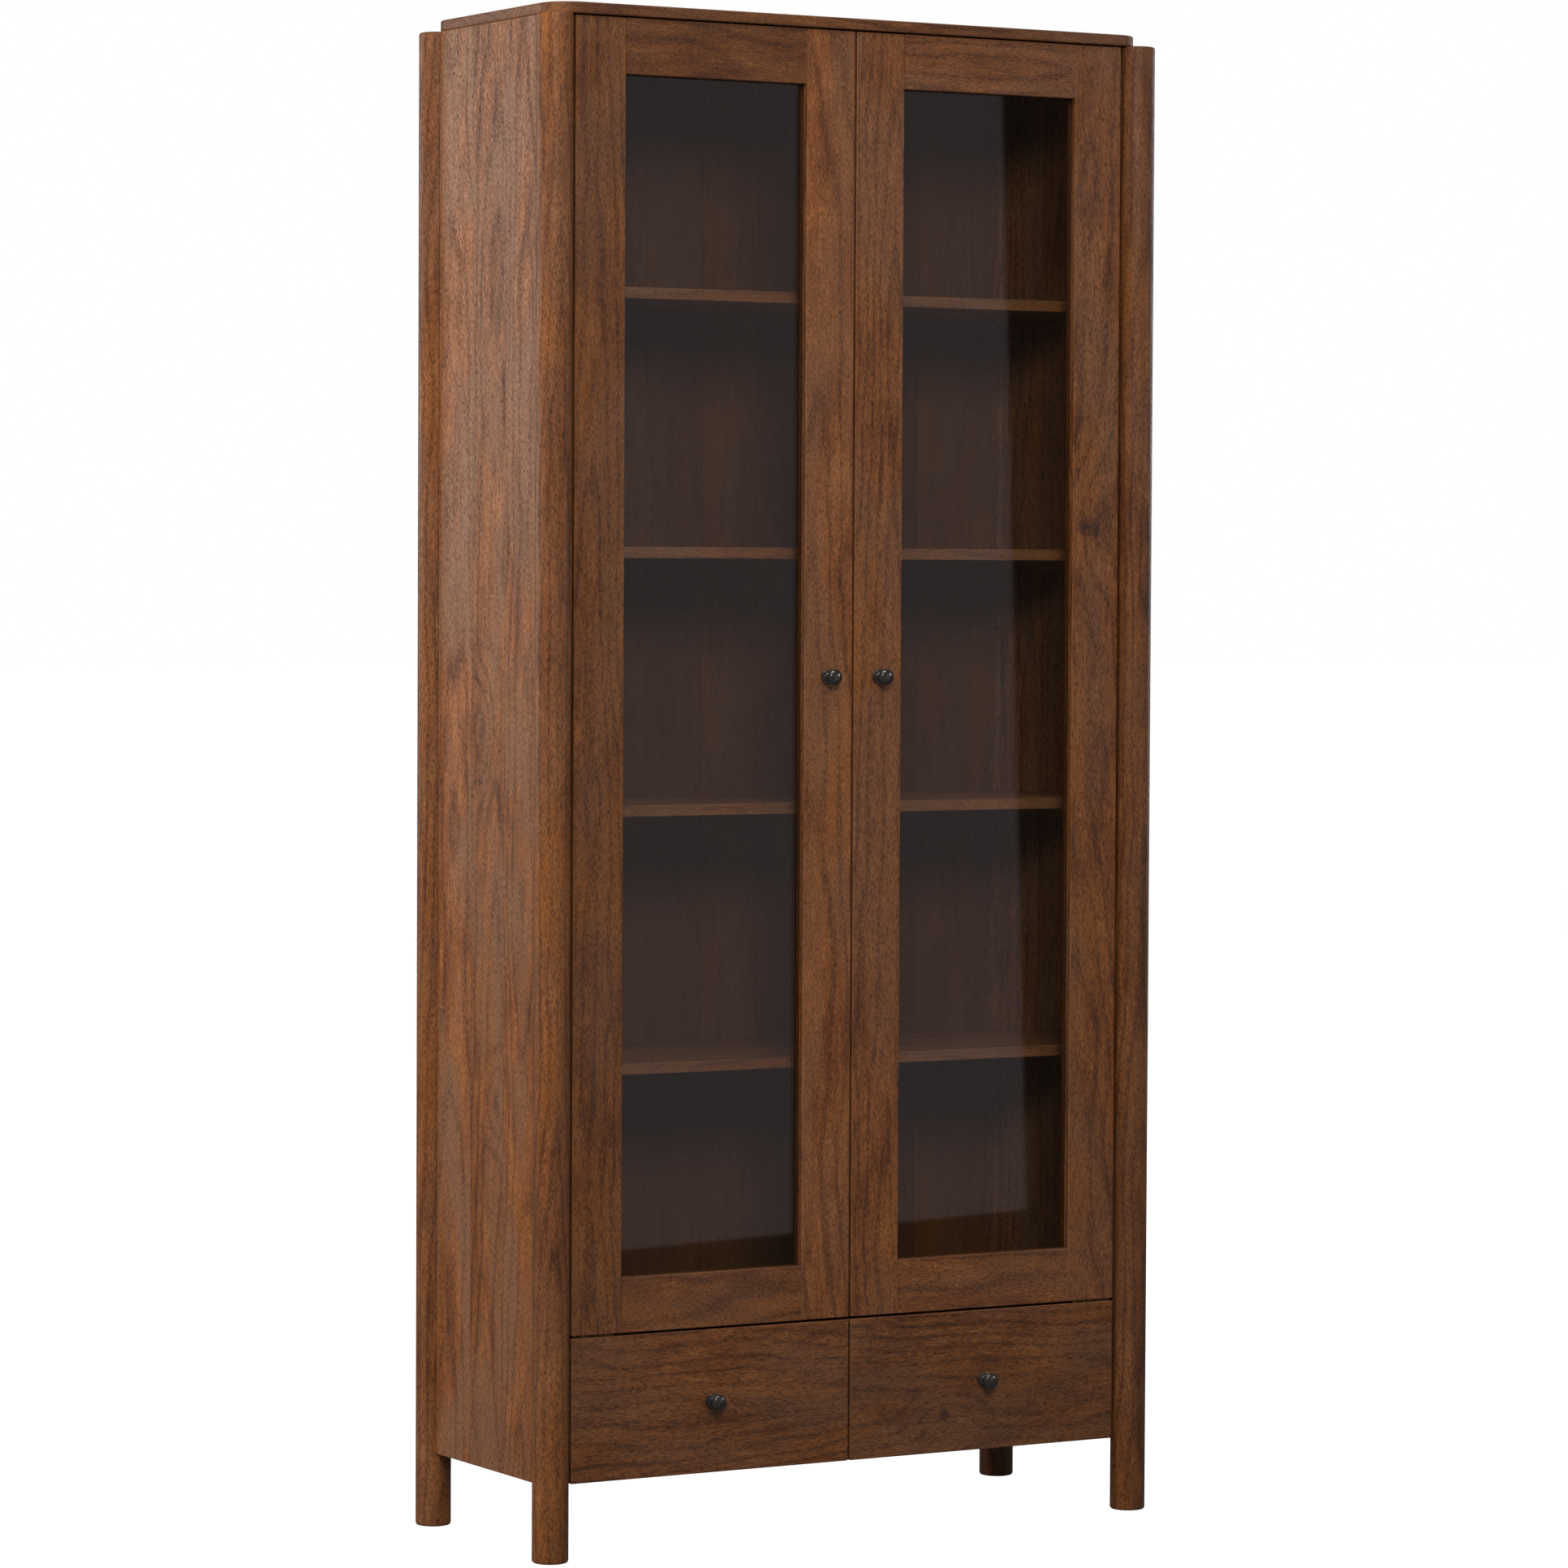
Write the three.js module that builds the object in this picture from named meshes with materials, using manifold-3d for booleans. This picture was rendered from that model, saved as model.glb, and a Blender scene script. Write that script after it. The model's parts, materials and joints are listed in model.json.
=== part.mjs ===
// A tall wooden display cabinet. Four round posts stand at its corners, with the side panels and the
// back let into grooves in them and a thin board with round corners over them. Behind a pair of framed
// glass doors are four shelves, and below the doors are two drawers side by side.
// Millimetres. X runs from left to right, Y from front to back and Z up. The origin is on the floor,
// midway across the posts and midway between the knobs' tips and the backs of the rear posts.

import * as THREE from "three";
import { mergeVertices } from "three/addons/utils/BufferGeometryUtils.js";
import Module from "manifold-3d";

const wasm = await Module();
wasm.setup();

// Overall sizes
const height = 1900;
const width = 890;
const postRadius = 22.5;
const postSpacing = 318; // from a front post's axis to the rear post's axis behind it
const postSetBack = 3.5; // from the fronts of the doors back to the front posts' axes
const knobReach = 24;
const depth = knobReach + postSetBack + postSpacing + postRadius;

// Case
const topThickness = 14;
const topOverhang = 6; // in front of the doors
const topBehindPosts = 9.5; // behind the rear posts' axes
const topBesidePosts = 5; // outside the posts' axes
const topCornerRadius = 39;
const topEasing = 2;
const caseBottom = 93;
const sideThickness = 19;
const sideOutsideAxis = 6.5; // from the posts' axes out to the side panels' outer faces
const backThickness = 12;
const backBeforeAxis = 5.5; // from the rear posts' axes forward to the back panel's front
const grooveFloor = 10; // from a post's axis to the floor of each groove
const postEasing = 2;
const postFacets = 40;
const boardThickness = 14; // shelves and bottom panel
const deckThickness = 18;
const boardSlack = 0.5; // between a board's ends and notches and what they meet
const deckTop = 281;
const dividerThickness = 18;
const stopRailHeight = 25;
const stopRailThickness = 18;
const behindFronts = 2; // from the backs of the doors and drawer fronts to the boards behind them

// Shelves
const shelfCount = 4;
const shelfPitch = 320; // from the deck's top to the first shelf's, and so on up
const shelfFront = 60; // behind the fronts of the doors
const cleatThickness = 12;
const cleatHeight = 14;
const cleatLength = 205;
const cleatFront = 80; // behind the fronts of the doors

// Doors and drawer fronts
const frontThickness = 22;
const frontBottom = 94;
const frontSplit = 274; // the middle of the gap between drawers and doors
const gap = 3;
const topGap = 1.5;
const postGap = 4.5;
const stileWidth = 69;
const railWidth = 68.5;
const tenonLength = 30;
const tenonThickness = 8;
const tenonShoulder = 8; // from the glass opening to the tenon's edge
const tenonHeight = 46;
const glassReveal = 11; // from the door's front to the glass rebate
const rebateWidth = 8;
const glassThickness = 4;
const beadDepth = 6.5;
const glassSlack = 0.5; // around the pane and the bead

// Knobs
const knobBaseRadius = 9.5;
const knobNeckRadius = 4.5;
const knobBaseDepth = 3;
const knobHeadRadius = 10;
const knobHeadDepth = 6; // from the head's widest part to its tip
const knobHeadSteps = 8;
const knobFromMeetingEdge = 36;

// Knife hinges
const pinInset = 6; // from the door's outer edge, and from its front, to the pin's axis
const pinRadius = 2.5;
const pinHoleRadius = 2.75;
const leafRadius = 4;
const leafLength = 54.5; // from the pin's axis to the leaf's inner end
const leafThickness = 2;
const bracketTab = 40; // the length of the bent part
const hingeSlack = 0.5; // between a bracket's leaf and the door over it

// Drawer boxes
const drawerWall = 12;
const drawerBoxHeight = 122;
const drawerBoxRear = 21.5; // in front of the rear posts' axes
const drawerSlack = 1.5; // beside the box, on each side
const drawerLift = 0.5; // under the box
const drawerBottomThickness = 6;
const drawerBottomLift = 9.5; // from the box's lower edge to its bottom
const drawerGroove = 5;
const battenWidth = 15;
const battenHeight = 30;
const battenLength = 260;
const battenBehindPost = 4;

const fit = 0.25; // the play around a piece let into another

// Places worked out from the sizes
const postX = width / 2 - postRadius;
const faceY = knobReach - depth / 2;
const frontPostY = faceY + postSetBack;
const rearPostY = frontPostY + postSpacing;
const topUnderside = height - topThickness;
const sideOuter = postX + sideOutsideAxis;
const sideInner = sideOuter - sideThickness;
const boardEnd = sideInner - boardSlack; // where boards between the side panels end
const backFront = rearPostY - backBeforeAxis;
const backRear = backFront + backThickness;
const frontBack = faceY + frontThickness;
const caseFront = frontBack + behindFronts;
const deckUnderside = deckTop - deckThickness;
const bottomTop = caseBottom + boardThickness;
const doorEdge = postX - postRadius - postGap;
const meetingEdge = gap / 2;
const doorBottom = frontSplit + gap / 2;
const doorTop = topUnderside - topGap;
const drawerTop = frontSplit - gap / 2;
const openingOuter = doorEdge - stileWidth;
const openingInner = meetingEdge + stileWidth;
const openingBottom = doorBottom + railWidth;
const openingTop = doorTop - railWidth;
const rebateY = faceY + glassReveal;
const pinX = doorEdge - pinInset;
const pinY = faceY + pinInset;

const wood = { color: 0x6d452c, roughness: 0.5, metalness: 0 };
const innerWood = { color: 0x5d3b27, roughness: 0.6, metalness: 0 };
const paleWood = { color: 0x8a6544, roughness: 0.65, metalness: 0 };
const glass = { color: 0xaeb6b4, roughness: 0.04, metalness: 0, transparent: true, opacity: 0.3 };
const darkMetal = { color: 0x2b2725, roughness: 0.35, metalness: 0.9 };
const brass = { color: 0xa8894e, roughness: 0.4, metalness: 1 };

const cabinet = new THREE.Group();

function add(name, geometry, look) {
  const mesh = new THREE.Mesh(geometry, new THREE.MeshStandardMaterial(look));
  mesh.name = name;
  cabinet.add(mesh);
  return mesh;
}

// A box between two limits on each axis, given in either order.
function box([xa, xb], [ya, yb], [za, zb]) {
  const size = [Math.abs(xb - xa), Math.abs(yb - ya), Math.abs(zb - za)];
  return new THREE.BoxGeometry(...size).translate((xa + xb) / 2, (ya + yb) / 2, (za + zb) / 2);
}

function outline(points) {
  return new THREE.Shape(points.map(([u, v]) => new THREE.Vector2(u, v)));
}

// A flat shape drawn in X and Y, standing from one height to another.
function upright(shape, low, high, curveSegments = 8) {
  const options = { depth: high - low, bevelEnabled: false, curveSegments };
  return new THREE.ExtrudeGeometry(shape, options).translate(0, 0, low);
}

// Swaps a geometry's axes so that what was drawn in X and Y, and stood along Z, is drawn in Y and Z and
// lies along X. A second turn draws it in Z and X and lays it along Y.
function turnAxes(geometry, turns) {
  const cycle = new THREE.Matrix4().set(0, 0, 1, 0, 1, 0, 0, 0, 0, 1, 0, 0, 0, 0, 0, 1);
  for (let turn = 0; turn < turns; turn += 1) {
    geometry.applyMatrix4(cycle);
  }
  return geometry;
}

function flipFaces(geometry) {
  const flat = geometry.index ? geometry.toNonIndexed() : geometry;
  const places = flat.getAttribute("position");
  for (let corner = 0; corner < places.count; corner += 3) {
    const second = new THREE.Vector3().fromBufferAttribute(places, corner + 1);
    const third = new THREE.Vector3().fromBufferAttribute(places, corner + 2);
    places.setXYZ(corner + 1, third.x, third.y, third.z);
    places.setXYZ(corner + 2, second.x, second.y, second.z);
  }
  flat.computeVertexNormals();
  return flat;
}

// The same piece for the other side of the cabinet when side is 1. Pieces are drawn for the left, side -1.
function onSide(geometry, side) {
  return side < 0 ? geometry : flipFaces(geometry.scale(-1, 1, 1));
}

function solidOf(geometry) {
  const bare = geometry.clone();
  bare.deleteAttribute("normal");
  bare.deleteAttribute("uv");
  const merged = mergeVertices(bare, 1e-4);
  return new wasm.Manifold(
    new wasm.Mesh({
      numProp: 3,
      vertProperties: merged.getAttribute("position").array,
      triVerts: new Uint32Array(merged.index.array),
    }),
  );
}

function geometryOf(solid) {
  const mesh = solid.getMesh();
  const geometry = new THREE.BufferGeometry();
  geometry.setAttribute("position", new THREE.BufferAttribute(mesh.vertProperties, 3));
  geometry.setIndex(new THREE.BufferAttribute(mesh.triVerts, 1));
  geometry.computeVertexNormals();
  return geometry;
}

function cut(geometry, ...tools) {
  return geometryOf(tools.reduce((left, tool) => left.subtract(solidOf(tool)), solidOf(geometry)));
}

function join(geometry, ...others) {
  return geometryOf(others.reduce((whole, other) => whole.add(solidOf(other)), solidOf(geometry)));
}

// A turned shape from [radius, height] pairs that start and end on its axis, standing along Z.
function turned(profile, segments) {
  const points = profile.map(([radius, along]) => new THREE.Vector2(radius, along));
  return new THREE.LatheGeometry(points, segments).rotateX(Math.PI / 2);
}

function cylinder(radius, low, high, x, y) {
  const profile = [[0, low], [radius, low], [radius, high], [0, high]];
  return turned(profile, 24).translate(x, y, 0);
}

// A quarter round between two directions, as [radius, height] pairs around a centre.
function quarter(centreRadius, centreHeight, radius, fromAngle, steps = 3) {
  return Array.from({ length: steps + 1 }, (_, step) => {
    const angle = fromAngle + (step / steps) * (Math.PI / 2);
    return [centreRadius + radius * Math.cos(angle), centreHeight + radius * Math.sin(angle)];
  });
}

// Posts, with a groove for the side panel in each and one for the back panel in the rear pair.
function post(rear) {
  const inner = postRadius - postEasing;
  const bottomRound = quarter(inner, postEasing, postEasing, -Math.PI / 2);
  const topRound = quarter(inner, topUnderside - postEasing, postEasing, 0);
  const round = turned([[0, 0], ...bottomRound, ...topRound, [0, topUnderside]], postFacets);
  const grooveHeight = [caseBottom - fit, topUnderside + 1];
  const sideWay = rear ? -1 : 1;
  const sideGroove = box(
    [-sideOutsideAxis - fit, sideThickness - sideOutsideAxis + fit],
    [sideWay * grooveFloor, sideWay * (postRadius + 1)],
    grooveHeight,
  );
  const backGroove = box(
    [grooveFloor, postRadius + 1],
    [-backBeforeAxis - fit, backThickness - backBeforeAxis + fit],
    grooveHeight,
  );
  const grooves = rear ? [sideGroove, backGroove] : [sideGroove];
  return cut(round, ...grooves).translate(-postX, rear ? rearPostY : frontPostY, 0);
}

// The case.
function topBoard() {
  const reachX = postX + topBesidePosts - topEasing;
  const front = faceY - topOverhang + topEasing;
  const rear = rearPostY + topBehindPosts - topEasing;
  const corner = topCornerRadius - topEasing;
  const plan = new THREE.Shape();
  plan.absarc(reachX - corner, rear - corner, corner, 0, Math.PI / 2);
  plan.absarc(-reachX + corner, rear - corner, corner, Math.PI / 2, Math.PI);
  plan.absarc(-reachX + corner, front + corner, corner, Math.PI, 1.5 * Math.PI);
  plan.absarc(reachX - corner, front + corner, corner, 1.5 * Math.PI, 2 * Math.PI);
  const board = new THREE.ExtrudeGeometry(plan, {
    depth: topThickness - 2 * topEasing,
    bevelThickness: topEasing,
    bevelSize: topEasing,
    bevelSegments: 2,
    curveSegments: 7,
  }).translate(0, 0, topUnderside + topEasing);
  const pocket = upright(leafOutline(fit), topUnderside - 1, topUnderside + leafThickness + fit);
  return cut(board, pocket, onSide(pocket.clone(), 1));
}

// A board between the side panels, notched at its rear corners around the rear posts.
function innerBoard(front, low, high) {
  const notchX = postX - postRadius - boardSlack;
  const notchY = rearPostY - postRadius - boardSlack;
  const points = [
    [boardEnd, front],
    [boardEnd, notchY],
    [notchX, notchY],
    [notchX, backFront],
    [-notchX, backFront],
    [-notchX, notchY],
    [-boardEnd, notchY],
    [-boardEnd, front],
  ];
  return upright(outline(points), low, high);
}

// Knife hinges. A leaf is a plate with a round end about the pin, drawn for the left door, and grow
// widens it all round to make the recess that it lies in.
function leafOutline(grow) {
  const radius = leafRadius + grow;
  const inner = -pinX + leafLength + grow;
  const plan = new THREE.Shape();
  plan.moveTo(inner, pinY - radius);
  plan.lineTo(inner, pinY + radius);
  plan.absarc(-pinX, pinY, radius, Math.PI / 2, 1.5 * Math.PI);
  return plan;
}

function withPinHole(plan) {
  const hole = new THREE.Path();
  hole.absarc(-pinX, pinY, pinHoleRadius, 0, 2 * Math.PI, true);
  plan.holes.push(hole);
  return plan;
}

function pinLeaf(low, pinEnd) {
  const high = low + leafThickness;
  const pin = cylinder(pinRadius, Math.min(pinEnd, low), Math.max(pinEnd, high), -pinX, pinY);
  return join(upright(leafOutline(0), low, high), pin);
}

// The lower case leaf is bent down at its rear and screwed to the front edge of the deck.
function deckBracket() {
  const low = doorBottom - hingeSlack - leafThickness;
  const high = low + leafThickness;
  const inner = -pinX + leafLength;
  const outer = inner - bracketTab;
  const rear = caseFront + leafThickness;
  const plan = new THREE.Shape();
  plan.moveTo(inner, pinY - leafRadius);
  plan.lineTo(inner, rear);
  plan.lineTo(outer, rear);
  plan.lineTo(outer, pinY + leafRadius);
  plan.absarc(-pinX, pinY, leafRadius, Math.PI / 2, 1.5 * Math.PI);
  const leaf = upright(withPinHole(plan), low, high);
  return join(leaf, box([outer, inner], [caseFront, rear], [deckUnderside + fit, high]));
}

function deck() {
  const inner = -pinX + leafLength;
  const top = doorBottom - hingeSlack + fit;
  const recess = box(
    [inner - bracketTab - fit, inner + fit],
    [caseFront - 1, caseFront + leafThickness + fit],
    [deckUnderside - 1, top],
  );
  return cut(innerBoard(caseFront, deckUnderside, deckTop), recess, onSide(recess.clone(), 1));
}

function buildCase() {
  for (const [row, rear] of [["front", false], ["rear", true]]) {
    add(`post_${row}_left`, post(rear), wood);
    add(`post_${row}_right`, onSide(post(rear), 1), wood);
  }
  const betweenPosts = [frontPostY + grooveFloor + fit, rearPostY - grooveFloor - fit];
  const panelHeight = [caseBottom, topUnderside];
  const backEnd = postX - grooveFloor - fit;
  add("top_board", topBoard(), wood);
  add("side_panel_left", box([-sideOuter, -sideInner], betweenPosts, panelHeight), wood);
  add("side_panel_right", box([sideInner, sideOuter], betweenPosts, panelHeight), wood);
  add("back_panel", box([-backEnd, backEnd], [backFront, backRear], panelHeight), innerWood);
  add("deck_panel", deck(), wood);
  add("bottom_panel", innerBoard(caseFront, caseBottom, bottomTop), innerWood);
  const halfDivider = dividerThickness / 2;
  const dividerHeight = [bottomTop, deckUnderside];
  add("drawer_divider", box([-halfDivider, halfDivider], [caseFront, backFront], dividerHeight), innerWood);
  const railDepth = [caseFront, caseFront + stopRailThickness];
  const railHeight = [topUnderside - stopRailHeight, topUnderside];
  add("door_stop_rail", box([-boardEnd, boardEnd], railDepth, railHeight), wood);
}

function buildShelves() {
  const cleatStart = faceY + cleatFront;
  for (let number = 1; number <= shelfCount; number += 1) {
    const top = deckTop + number * shelfPitch;
    const underside = top - boardThickness;
    add(`shelf_${number}`, innerBoard(faceY + shelfFront, underside, top), innerWood);
    for (const [side, place] of [["left", -1], ["right", 1]]) {
      const cleat = box(
        [place * boardEnd, place * (boardEnd - cleatThickness)],
        [cleatStart, cleatStart + cleatLength],
        [underside - cleatHeight, underside],
      );
      add(`shelf_cleat_${side}_${number}`, cleat, innerWood);
    }
  }
}

// The doors are drawn for the left side. A tenon goes into a mortise in front of the glass rebate.
function tenonBox([fromX, toX], isTop, grow) {
  const start = isTop ? openingTop + tenonShoulder : openingBottom - tenonShoulder - tenonHeight;
  return box(
    [fromX, toX],
    [rebateY - tenonThickness - grow, rebateY + grow],
    [start - grow, start + tenonHeight + grow],
  );
}

// An upright of the frame, from the edge next to the glass to its far edge. way is 1 where the far edge
// lies towards X, and -1 where it lies the other way.
function stile(glassEdge, farEdge, way, ...recesses) {
  const mortise = [glassEdge - way, glassEdge + way * (tenonLength + fit)];
  const rebate = [glassEdge - way, glassEdge + way * rebateWidth];
  const rebateHeight = [openingBottom - rebateWidth, openingTop + rebateWidth];
  return cut(
    box([glassEdge, farEdge], [faceY, frontBack], [doorBottom, doorTop]),
    tenonBox(mortise, true, fit),
    tenonBox(mortise, false, fit),
    box(rebate, [rebateY, frontBack + 1], rebateHeight),
    ...recesses,
  );
}

// The hinge stile has a recess in each end for a pin leaf, open at the door's outer edge.
function leafRecess(low, high) {
  const radius = leafRadius + fit;
  const inner = -pinX + leafLength + fit;
  return box([-doorEdge - 1, inner], [pinY - radius, pinY + radius], [low, high]);
}

function rail(isTop) {
  const [low, high] = isTop ? [openingTop, doorTop] : [doorBottom, openingBottom];
  const glassEdge = isTop ? low : high;
  const rebateEnd = isTop ? low + rebateWidth : high - rebateWidth;
  const farEdge = isTop ? high : low;
  const section = outline([
    [faceY, glassEdge],
    [faceY, farEdge],
    [frontBack, farEdge],
    [frontBack, rebateEnd],
    [rebateY, rebateEnd],
    [rebateY, glassEdge],
  ]);
  const length = openingOuter - openingInner;
  const bar = turnAxes(upright(section, 0, length), 1).translate(-openingOuter, 0, 0);
  return join(
    bar,
    tenonBox([-openingOuter - tenonLength, -openingOuter + 1], isTop, 0),
    tenonBox([-openingInner - 1, -openingInner + tenonLength], isTop, 0),
  );
}

function glassArea(grow) {
  return {
    across: [-openingOuter - grow, -openingInner + grow],
    up: [openingBottom - grow, openingTop + grow],
  };
}

function pane() {
  const { across, up } = glassArea(rebateWidth - glassSlack);
  const front = rebateY + fit;
  return box(across, [front, front + glassThickness], up);
}

function glazingBead() {
  const outside = glassArea(rebateWidth - glassSlack);
  const inside = glassArea(0);
  const y = [frontBack - beadDepth, frontBack];
  const through = [frontBack - beadDepth - 1, frontBack + 1];
  return cut(box(outside.across, y, outside.up), box(inside.across, through, inside.up));
}

// A knob with a stepped base, a slim neck and a flattened round head, standing out from the front. The
// head is an ellipse turned about the axis, from where it leaves the neck round to its flat tip.
function knob(x, z) {
  const headMiddle = knobReach - knobHeadDepth;
  const headCurve = Array.from({ length: knobHeadSteps + 1 }, (_, step) => {
    const angle = THREE.MathUtils.lerp(-65, 90, step / knobHeadSteps) * THREE.MathUtils.DEG2RAD;
    return [knobHeadRadius * Math.cos(angle), headMiddle + knobHeadDepth * Math.sin(angle)];
  });
  const base = [
    [0, 0],
    [knobBaseRadius, 0],
    [knobBaseRadius, knobBaseDepth - 1],
    [knobBaseRadius - 1, knobBaseDepth],
    [knobNeckRadius + 1.5, knobBaseDepth + 1],
    [knobNeckRadius, knobBaseDepth + 3],
  ];
  const profile = [...base, ...headCurve.slice(0, -1), [0, knobReach]];
  return turned(profile, 24).rotateX(Math.PI / 2).translate(x, faceY, z);
}

function buildDoor(name, side) {
  const part = (label, geometry, look) => add(`${name}_door_${label}`, onSide(geometry, side), look);
  const topRecess = leafRecess(doorTop - leafThickness - fit, doorTop + 1);
  const bottomRecess = leafRecess(doorBottom - 1, doorBottom + leafThickness + fit);
  const topLeafLow = doorTop - leafThickness;
  const topPinEnd = topUnderside + leafThickness - fit;
  const bottomPinEnd = doorBottom - hingeSlack - leafThickness + fit;
  const caseLeaf = upright(withPinHole(leafOutline(0)), topUnderside, topUnderside + leafThickness);
  const knobHeight = (doorBottom + doorTop) / 2;
  part("hinge_stile", stile(-openingOuter, -doorEdge, -1, topRecess, bottomRecess), wood);
  part("meeting_stile", stile(-openingInner, -meetingEdge, 1), wood);
  part("top_rail", rail(true), wood);
  part("bottom_rail", rail(false), wood);
  part("glass", pane(), glass);
  part("glazing_bead", glazingBead(), wood);
  part("knob", knob(-meetingEdge - knobFromMeetingEdge, knobHeight), darkMetal);
  part("top_pin_leaf", pinLeaf(topLeafLow, topPinEnd), brass);
  part("bottom_pin_leaf", pinLeaf(doorBottom, bottomPinEnd), brass);
  part("top_case_leaf", caseLeaf, brass);
  part("bottom_case_bracket", deckBracket(), brass);
}

// The drawers are drawn for the left side too. A box runs between the divider and a batten.
function buildDrawer(name, side) {
  const part = (label, geometry, look) => add(`${name}_drawer_${label}`, onSide(geometry, side), look);
  const boxInner = -dividerThickness / 2 - drawerSlack;
  const battenOuter = -boardEnd;
  const battenInner = battenOuter + battenWidth;
  const boxOuter = battenInner + drawerSlack;
  const boxBottom = bottomTop + drawerLift;
  const boxTop = boxBottom + drawerBoxHeight;
  const boxRear = rearPostY - drawerBoxRear;
  const bottomLow = boxBottom + drawerBottomLift;
  const bottomHigh = bottomLow + drawerBottomThickness;
  const grooveEnds = [boxOuter + drawerWall - drawerGroove, boxInner - drawerWall + drawerGroove];
  const grooveHeight = [bottomLow - fit, bottomHigh + fit];
  const grooveDepth = [frontBack - drawerGroove, boxRear + 1];
  const groove = () => box(grooveEnds, grooveDepth, grooveHeight);
  const front = box([-doorEdge, -meetingEdge], [faceY, frontBack], [frontBottom, drawerTop]);
  const wall = (outer, inner) => box([outer, inner], [frontBack, boxRear], [boxBottom, boxTop]);
  const rearWall = [boxRear - drawerWall, boxRear];
  const betweenWalls = [boxOuter + drawerWall, boxInner - drawerWall];
  const floorWidth = [grooveEnds[0] + fit, grooveEnds[1] - fit];
  const floorDepth = [frontBack - drawerGroove + fit, boxRear];
  const frontMiddle = (doorEdge + meetingEdge) / 2;
  const battenStart = frontPostY + postRadius + battenBehindPost;
  part("front", cut(front, groove()), wood);
  part("outer_side", cut(wall(boxOuter, boxOuter + drawerWall), groove()), paleWood);
  part("inner_side", cut(wall(boxInner, boxInner - drawerWall), groove()), paleWood);
  part("back", box(betweenWalls, rearWall, [bottomHigh + fit, boxTop]), paleWood);
  part("bottom", box(floorWidth, floorDepth, [bottomLow, bottomHigh]), paleWood);
  part("knob", knob(-frontMiddle, (frontBottom + drawerTop) / 2), darkMetal);
  const batten = box(
    [battenOuter, battenInner],
    [battenStart, battenStart + battenLength],
    [bottomTop, bottomTop + battenHeight],
  );
  part("guide_batten", batten, paleWood);
}

buildCase();
buildShelves();
for (const [name, side] of [["left", -1], ["right", 1]]) {
  buildDoor(name, side);
  buildDrawer(name, side);
}

export default cabinet;
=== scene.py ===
import json
import math

import bmesh
import bpy
import numpy as np
from mathutils import Matrix, Vector


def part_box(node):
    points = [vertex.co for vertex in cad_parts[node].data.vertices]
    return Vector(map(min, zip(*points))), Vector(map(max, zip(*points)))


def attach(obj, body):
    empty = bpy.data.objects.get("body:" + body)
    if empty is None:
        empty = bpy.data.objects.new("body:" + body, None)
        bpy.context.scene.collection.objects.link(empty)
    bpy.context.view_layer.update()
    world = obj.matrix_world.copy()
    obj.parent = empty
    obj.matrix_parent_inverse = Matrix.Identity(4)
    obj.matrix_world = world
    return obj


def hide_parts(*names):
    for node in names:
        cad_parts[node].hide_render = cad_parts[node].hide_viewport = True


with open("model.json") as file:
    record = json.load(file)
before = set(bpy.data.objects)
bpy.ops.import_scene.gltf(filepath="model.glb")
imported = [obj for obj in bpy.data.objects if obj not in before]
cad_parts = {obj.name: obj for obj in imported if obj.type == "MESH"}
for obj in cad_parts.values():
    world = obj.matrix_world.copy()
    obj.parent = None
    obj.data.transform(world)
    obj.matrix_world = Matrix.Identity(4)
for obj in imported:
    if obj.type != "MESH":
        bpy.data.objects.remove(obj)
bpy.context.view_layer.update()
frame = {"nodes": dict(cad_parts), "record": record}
mm = 0.001
print("cabinet: frame loaded")

# Shapes shared by all pieces.


def loft(name, rings, wraps=False):
    # Each ring of points is joined to the next by a strip of quads. The first and last rings are closed
    # by a flat face, or joined to each other where the rings come back round.
    rings = np.asarray(rings, float)
    count, size = rings.shape[:2]
    here = np.arange(count if wraps else count - 1)[:, None] * size
    along = np.arange(size)[None, :]
    after = (along + 1) % size
    there = (here + size) % (count * size)
    quads = np.stack([here + along, here + after, there + after, there + along], -1).reshape(-1, 4)
    faces = quads.tolist()
    if not wraps:
        faces += [list(range(size)), list(range((count - 1) * size, count * size))]
    mesh = bpy.data.meshes.new(name)
    mesh.from_pydata(rings.reshape(-1, 3), [], faces)
    work = bmesh.new()
    work.from_mesh(mesh)
    bmesh.ops.remove_doubles(work, verts=work.verts, dist=1e-7)
    bmesh.ops.recalc_face_normals(work, faces=work.faces)
    work.to_mesh(mesh)
    work.free()
    mesh.shade_smooth()
    mesh.set_sharp_from_angle(angle=math.radians(40))
    made = bpy.data.objects.new(name, mesh)
    bpy.context.scene.collection.objects.link(made)
    return made


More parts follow.
